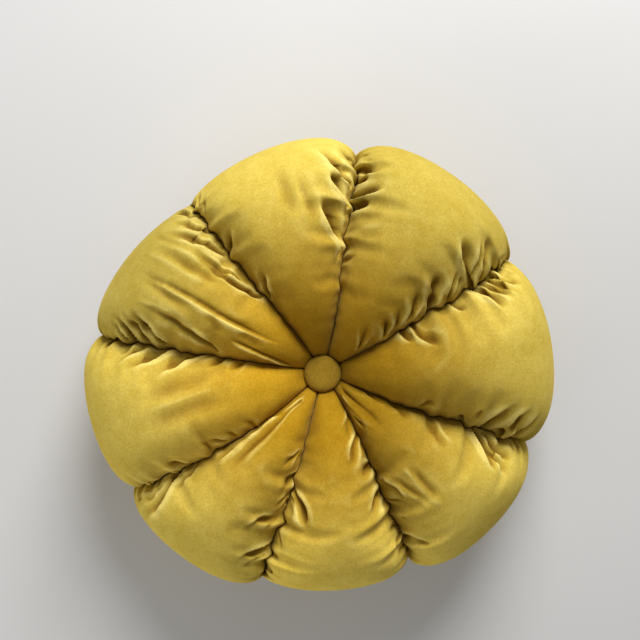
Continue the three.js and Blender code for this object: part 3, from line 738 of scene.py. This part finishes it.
# Keeps a petal on its own side of both seams, where it presses against its neighbours
def besideNeighbours(i, points, form, alongGrid):
    count = len(seams)
    kept = points.copy()
    angle, radius = aroundAxis(points)
    formAngle, formRadius = aroundAxis(form)
    for k, side in ((i, 1), ((i + 1) % count, -1)):
        limit = seamAngle(seams[k], radius) + wander(k, radius, alongGrid)
        formLimit = seamAngle(seams[k], formRadius) + wander(k, formRadius, alongGrid)
        off = side * (((angle - limit + np.pi) % (2 * np.pi)) - np.pi) * radius
        formOff = side * (((formAngle - formLimit + np.pi) % (2 * np.pi)) - np.pi) * formRadius
        least = 0.1 * np.clip(formOff, 0, 2)
        short = (off < least) & (np.abs(off) < 30)
        angle = np.where(short, limit + side * least / np.maximum(radius, 1), angle)
    kept[..., 0], kept[..., 1] = radius * np.cos(angle), radius * np.sin(angle)
    return kept


# Mean over a patch of the grid, with soft edges
def softened(values, reach):
    for size in reach:
        window = np.hanning(2 * size + 3)[1:-1]
        padded = np.pad(values, ((size, size), (0, 0)), mode="edge")
        values = sum(w * padded[k:k + len(values)] for k, w in enumerate(window / window.sum())).T
    return values


# Petal i with the cloth's movement, less most of what swells its whole crown
def swollen(i, form, normals, alongGrid, across, moved, edge):
    calm = np.stack([softened(moved[..., k], (1, 1)) for k in range(3)], -1)
    shift = finer(calm, simulation["step"])
    _, radius = aroundAxis(form)
    taken = fade(*simulation["takenFrom"], radius) * fade(0, simulation["seamHold"], edge)
    shift = shift * taken[..., None]
    outwards = (shift * normals).sum(-1)
    first, last = (int(across.shape[1] * share) for share in simulation["crown"])
    crown = outwards[:, first:last + 1].mean(1)
    reach = simulation["crownReach"]
    window = np.hanning(2 * reach + 1)
    crown = np.convolve(np.pad(crown, reach, mode="edge"), window / window.sum(), mode="valid")
    profile = np.clip(1 - across * across, 0, 1) ** 0.6
    shift = shift - normals * (crown[:, None] * (1 - simulation["crownKept"]) * profile)[..., None]
    return besideNeighbours(i, form + shift, form, alongGrid)


# Sinks the stitched line itself, straight in from the seam's own curve
def stitchedIn(points, fromFirst, fromSecond):
    sunk = points.copy()
    depth, reach = cushion["stitch"]
    for column, fromSeam in ((0, fromFirst), (-1, fromSecond)):
        seam = points[:, column]
        _, radius = aroundAxis(seam)
        rise, run = -np.gradient(seam[:, 2]), np.gradient(radius)
        length = np.maximum(np.hypot(rise, run), 1e-9)
        out = seam[:, :2] / np.maximum(radius, 1e-9)[:, None]
        inwards = np.column_stack([out * (rise / length)[:, None], run / length])
        starts = fade(*cushion["stitchStarts"], radius)
        amount = depth * np.exp(-((fromSeam / reach) ** 2)) * starts[:, None]
        sunk -= inwards[:, None] * amount[..., None]
    return sunk


def makePetal(i, moved, material):
    rows, columns = cushion["rows"], cushion["columns"]
    points, fromFirst, fromSecond, form, normals, alongGrid, across, folded = gatheredPetal(i, rows, columns)
    edge = np.minimum(fromFirst, fromSecond)
    if moved is not None:
        points = swollen(i, points, normals, alongGrid, across, moved[i], edge)
    points = stitchedIn(points, fromFirst, fromSecond)
    points[..., 2] = np.maximum(points[..., 2], 0)
    # How far each point lies sunk in a fold, which the velvet darkens with painted shade
    standing = ((points - form) * normals).sum(-1)
    hollow = softened(standing, cushion["around"]) - standing + cushion["foldShare"] * folded
    index, quads = gridFaces(rows, columns)
    middles = np.array([[0, 0, cushion["faceSeat"]], [0, 0, cushion["backSeat"]]], float)
    verts = np.vstack([points.reshape(-1, 3), middles]) * mm + np.array([axis.x, axis.y, 0])
    top, bottom = index.size, index.size + 1
    fans = [(top, int(a), int(b)) for a, b in zip(index[0, :-1], index[0, 1:])]
    fans += [(bottom, int(b), int(a)) for a, b in zip(index[-1, :-1], index[-1, 1:])]
    mesh = bpy.data.meshes.new(f"petal_{i + 1}")
    mesh.from_pydata(verts.tolist(), [], quads.tolist() + fans)
    mesh.shade_smooth()
    row, column = np.indices((rows + 1, columns + 1))
    laidFlat = np.stack([0.02 + 0.96 * column / columns, 0.02 + 0.96 * row / rows], -1).reshape(-1, 2)
    laidFlat = np.vstack([laidFlat, [(0.5, 0.005), (0.5, 0.995)]])
    corners = np.empty(len(mesh.loops), int)
    mesh.loops.foreach_get("vertex_index", corners)
    mesh.uv_layers.new(name="OFBake").data.foreach_set("uv", laidFlat[corners].ravel())
    _, radius = aroundAxis(form)
    # Share of the way from the button's colour to the rim's: pressed pile with painted shade near the button
    outFromButton = fade(*cushion["pressed"], radius)
    # Each petal's lightness: partly the lie of its pile, partly painted light and shade as the light falls
    # on it
    *_, nearButton, atRim = petals[i]
    shade = mix(nearButton, atRim, outFromButton)
    layers = {"foldDepth": hollow, "seamDistance": edge, "outFromButton": outFromButton, "pileAndPaintedLight": shade}
    for name, values in layers.items():
        layer = mesh.attributes.new(name, "FLOAT", "POINT")
        layer.data.foreach_set("value", np.append(values.ravel(), [0, 0]).astype(np.float32))
    mesh.materials.append(material)
    petal = bpy.data.objects.new(f"petal_{i + 1}", mesh)
    bpy.context.collection.objects.link(petal)
    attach(petal, "root")
    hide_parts("cushion")


# Velvet

def addNode(tree, kind, inputs=(), **settings):
    made = tree.nodes.new(kind)
    for name, value in settings.items():
        setattr(made, name, value)
    for name, value in dict(inputs).items():
        socket = made.inputs[name]
        if isinstance(value, bpy.types.NodeSocket):
            tree.links.new(value, socket)
        else:
            socket.default_value = value
    return made


def noise(tree, scale, detail, roughness, distortion=0.0):
    place = addNode(tree, "ShaderNodeTexCoord").outputs["Object"]
    look = {"Vector": place, "Scale": scale, "Detail": detail, "Roughness": roughness}
    look["Distortion"] = distortion
    return addNode(tree, "ShaderNodeTexNoise", look).outputs["Fac"]


def ranged(tree, value, low, high, start=0.0, end=1.0):
    look = {"Value": value, "From Min": low, "From Max": high, "To Min": start, "To Max": end}
    return addNode(tree, "ShaderNodeMapRange", look).outputs["Result"]


def blended(tree, share, first, second):
    look = {"Factor": share, 6: first, 7: second}
    return addNode(tree, "ShaderNodeMix", look, data_type="RGBA").outputs[2]


def scaled(tree, colour, factor):
    return addNode(tree, "ShaderNodeVectorMath", {0: colour, "Scale": factor}, operation="SCALE").outputs[0]


def pointValue(tree, name):
    return addNode(tree, "ShaderNodeAttribute", attribute_name=name).outputs["Fac"]


# Patches where the pile is brushed one way or another, and the pile itself
def makeNapGroup():
    tree = bpy.data.node_groups.new("velvet nap", "ShaderNodeTree")
    for name in ("Patch Scale", "Pile Scale", "Brushing"):
        tree.interface.new_socket(name, in_out="INPUT", socket_type="NodeSocketFloat")
    for name in ("Patches", "Pile"):
        tree.interface.new_socket(name, in_out="OUTPUT", socket_type="NodeSocketFloat")
    given = addNode(tree, "NodeGroupInput")
    taken = addNode(tree, "NodeGroupOutput")
    patchScale = given.outputs["Patch Scale"]
    finerScale = addNode(tree, "ShaderNodeMath", {0: patchScale, 1: 6.0}, operation="MULTIPLY")
    broad = noise(tree, patchScale, 5.0, 0.55, 0.6)
    small = noise(tree, finerScale.outputs[0], 4.0, 0.6, 0.3)
    look = {"Factor": given.outputs["Brushing"], 2: broad, 3: small}
    both = addNode(tree, "ShaderNodeMix", look, data_type="FLOAT").outputs[0]
    tree.links.new(ranged(tree, both, 0.32, 0.68), taken.inputs["Patches"])
    tree.links.new(noise(tree, given.outputs["Pile Scale"], 3.0, 0.7), taken.inputs["Pile"])
    return tree


velvet = {
    "line": (0.08, 0.027, 0.003, 1),  # painted shade right at the stitches, in the crease where two petals meet
    "deep": (0.18, 0.078, 0.005, 1),  # painted shade in the folds and beside the seams, where shadow falls
    "innerLow": (0.31, 0.162, 0.007, 1),  # near the button: the pile lies pressed, and painted shade of the hollow around the button darkens it
    "innerHigh": (0.40, 0.23, 0.013, 1),
    "low": (0.48, 0.345, 0.045, 1),
    "high": (0.61, 0.47, 0.095, 1),
    "paintedHighlight": (0.76, 0.62, 0.18, 1),  # painted highlight on ridges, where the light catches the pile
    # from, to, and the share of that colour at each end
    "shadeInFold": (0.3, 3.5, 0.0, 0.7),  # mm deep, for the painted shade in a fold
    # where on a ridge the painted highlight lies
    "highlightOnRidge": (-0.2, -1.8, 0.0, 0.75),
    "shadeAtSeam": (0.5, 5.0, 0.8, 0.0),  # mm from a seam, for the painted shade beside it
    # where the painted shade of the stitches lies
    "shadeAtStitches": (0.8, 1.8, 1.0, 0.0),
    "grain": (0.25, 0.75, 0.80, 1.16),  # how light the pile is, by its noise
    "roughness": (0.78, 0.92),
    "sheen": 0.15,
    "sheenRoughness": 0.45,
    "sheenTint": (1.0, 0.80, 0.28, 1),
    "patchScale": 13.0,
    "pileScale": 480.0,
    "brushing": 0.5,
    "bump": 0.35,
    "pileDepth": 0.0006,  # metres
}
buttonVelvet = dict(
    velvet,
    low=(0.27, 0.16, 0.014, 1),
    high=(0.34, 0.21, 0.024, 1),
    sheen=0.3,
    patchScale=40.0,
)


# The colour of a petal, by the values that makePetal gives its points, with painted shade and painted
# highlights
def petalColour(tree, look, patches, colour):
    inner = blended(tree, patches, look["innerLow"], look["innerHigh"])
    # Darker near the button: pressed pile and painted shade of its hollow
    colour = blended(tree, pointValue(tree, "outFromButton"), inner, colour)
    fold, seam = pointValue(tree, "foldDepth"), pointValue(tree, "seamDistance")
    # Painted highlight on the ridges
    colour = blended(tree, ranged(tree, fold, *look["highlightOnRidge"]), colour, look["paintedHighlight"])
    shadeInFold, shadeAtSeam = ranged(tree, fold, *look["shadeInFold"]), ranged(tree, seam, *look["shadeAtSeam"])
    shaded = addNode(tree, "ShaderNodeMath", {0: shadeInFold, 1: shadeAtSeam}, operation="MAXIMUM").outputs[0]
    # Painted shade in the folds and beside the seams
    colour = blended(tree, shaded, colour, look["deep"])
    # Painted shade, darkest right at the stitches
    colour = blended(tree, ranged(tree, seam, *look["shadeAtStitches"]), colour, look["line"])
    # Each petal lighter or darker: partly its pile, partly painted light and shade
    return scaled(tree, colour, pointValue(tree, "pileAndPaintedLight"))


def makeVelvet(name, look, napGroup, folded):
    material = bpy.data.materials.new(name)
    material.use_nodes = True
    tree = material.node_tree
    tree.nodes.clear()
    nap = addNode(tree, "ShaderNodeGroup", node_tree=napGroup)
    nap.inputs["Patch Scale"].default_value = look["patchScale"]
    nap.inputs["Pile Scale"].default_value = look["pileScale"]
    nap.inputs["Brushing"].default_value = look["brushing"]
    patches, pile = nap.outputs["Patches"], nap.outputs["Pile"]
    colour = blended(tree, patches, look["low"], look["high"])
    if folded:
        colour = petalColour(tree, look, patches, colour)
    fibres = scaled(tree, colour, ranged(tree, pile, *look["grain"]))
    rough = ranged(tree, patches, 0.0, 1.0, *look["roughness"])
    raised = {"Height": pile, "Strength": look["bump"], "Distance": look["pileDepth"]}
    bump = addNode(tree, "ShaderNodeBump", raised).outputs["Normal"]
    surface = {"Base Color": fibres, "Roughness": rough, "Normal": bump}
    shader = addNode(tree, "ShaderNodeBsdfPrincipled", surface)
    shader.inputs["Specular IOR Level"].default_value = 0.0
    shader.inputs["Sheen Weight"].default_value = look["sheen"]
    shader.inputs["Sheen Roughness"].default_value = look["sheenRoughness"]
    shader.inputs["Sheen Tint"].default_value = look["sheenTint"]
    out = addNode(tree, "ShaderNodeOutputMaterial", {"Surface": shader.outputs["BSDF"]})
    out.is_active_output = True
    return material


napGroup = makeNapGroup()
petalVelvet = makeVelvet("mustard velvet", velvet, napGroup, True)
moved = None
step = simulation["step"]
moved = simulated(cushion["rows"] // step, cushion["columns"] // step)
for i in range(len(petals)):
    makePetal(i, moved, petalVelvet)
print("petals made")


# Covered buttons

button = {
    "radius": 18.5,
    "height": 8.7,
    "tucks": 26,  # where the cloth is drawn in under the edge
    "tuckDepth": 0.35,
    "segments": 156,
    "rings": 44,
    # half a section, as shares of the radius and height, from the middle of the top to underneath
    "section": ((0, 1), (0.25, 0.992), (0.5, 0.955), (0.7, 0.885), (0.84, 0.78), (0.94, 0.63), (0.99, 0.46),
                (1, 0.33), (0.975, 0.18), (0.92, 0.07), (0.84, 0.0), (0.6, 0.0)),
}


def makeButton(name, node, facing, material):
    low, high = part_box(node)
    rings = button["rings"]
    section = curveThrough(button["section"], np.linspace(0.02, 1, rings))
    turn = np.linspace(0, 2 * np.pi, button["segments"], endpoint=False)
    drawn = fade(0.72, 1.0, np.linspace(0, 1, rings))[:, None] * fade(0.5, 0.9, section[:, :1])
    tuck = np.abs(np.sin(turn * button["tucks"] / 2 + 0.6 * np.sin(3 * turn)))[None] ** 0.6
    tucked = (1 - tuck) * (0.25 + drawn) * fade(0.8, 0.97, section[:, :1])
    out = section[:, :1] * button["radius"] - button["tuckDepth"] * tucked
    up = np.clip(section[:, 1:], 0, 1) * button["height"] * np.ones_like(turn)[None]
    grid = np.stack([out * np.cos(turn), out * np.sin(turn) * facing, up * facing], -1)
    base = low.z / mm if facing > 0 else high.z / mm
    grid[..., 2] += base
    points = np.vstack([grid.reshape(-1, 3), [[0, 0, base + facing * button["height"]], [0, 0, base]]])
    points[:, :2] += np.array([axis.x, axis.y]) / mm
    index = np.arange(rings * turn.size).reshape(rings, -1)
    after = np.roll(index, -1, axis=1)
    quads = np.stack([index[:-1], index[1:], after[1:], after[:-1]], -1).reshape(-1, 4).tolist()
    top, bottom = index.size, index.size + 1
    fans = [(top, int(a), int(b)) for a, b in zip(index[0], after[0])]
    fans += [(bottom, int(b), int(a)) for a, b in zip(index[-1], after[-1])]
    mesh = bpy.data.meshes.new(name)
    mesh.from_pydata((points * mm).tolist(), [], quads + fans)
    mesh.shade_smooth()
    mesh.materials.append(material)
    piece = bpy.data.objects.new(name, mesh)
    bpy.context.collection.objects.link(piece)
    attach(piece, "root")
    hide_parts(node)


buttonCloth = makeVelvet("button velvet", buttonVelvet, napGroup, False)
makeButton("covered_face_button", "face_button", 1, buttonCloth)
makeButton("covered_back_button", "back_button", -1, buttonCloth)
print("buttons made")


# Floor and light

floorLook = {
    "colour": (0.54, 0.535, 0.53),
    "mottle": (0.97, 1.03),
    "mottleScale": 5.0,
    "roughness": 0.9,
    "size": 6,
}
lamps = (  # name, place in metres, size, power
    ("window", (0.35, 1.7, 1.25), 1.1, 66),
    ("room", (-1.5, -1.25, 0.55), 1.6, 21),
)
roomLight = {"colour": (1.0, 0.98, 0.95, 1), "strength": 0.31, "aim": (0, 0, 0.08)}


def makeFloor(look):
    mesh = bpy.data.meshes.new("floor")
    half = look["size"] / 2
    corners = [(-half, -half, 0), (half, -half, 0), (half, half, 0), (-half, half, 0)]
    mesh.from_pydata(corners, [], [(0, 1, 2, 3)])
    material = bpy.data.materials.new("pale floor")
    material.use_nodes = True
    tree = material.node_tree
    shader = tree.nodes["Principled BSDF"]
    tone = ranged(tree, noise(tree, look["mottleScale"], 3.0, 0.5), 0.0, 1.0, *look["mottle"])
    tree.links.new(scaled(tree, look["colour"], tone), shader.inputs["Base Color"])
    shader.inputs["Roughness"].default_value = look["roughness"]
    mesh.materials.append(material)
    floor = bpy.data.objects.new("floor", mesh)
    bpy.context.collection.objects.link(floor)


def makeLamps(rows, room):
    for name, place, size, power in rows:
        data = bpy.data.lights.new(name, "AREA")
        data.shape, data.size, data.energy = "DISK", size, power
        lamp = bpy.data.objects.new(name, data)
        lamp.location = place
        towards = Vector(room["aim"]) - lamp.location
        lamp.rotation_euler = towards.to_track_quat("-Z", "Y").to_euler()
        bpy.context.collection.objects.link(lamp)
    world = bpy.data.worlds.new("soft room")
    world.use_nodes = True
    background = world.node_tree.nodes["Background"]
    background.inputs["Color"].default_value = room["colour"]
    background.inputs["Strength"].default_value = room["strength"]
    bpy.context.scene.world = world


makeFloor(floorLook)
makeLamps(lamps, roomLight)
print("floor and light set")
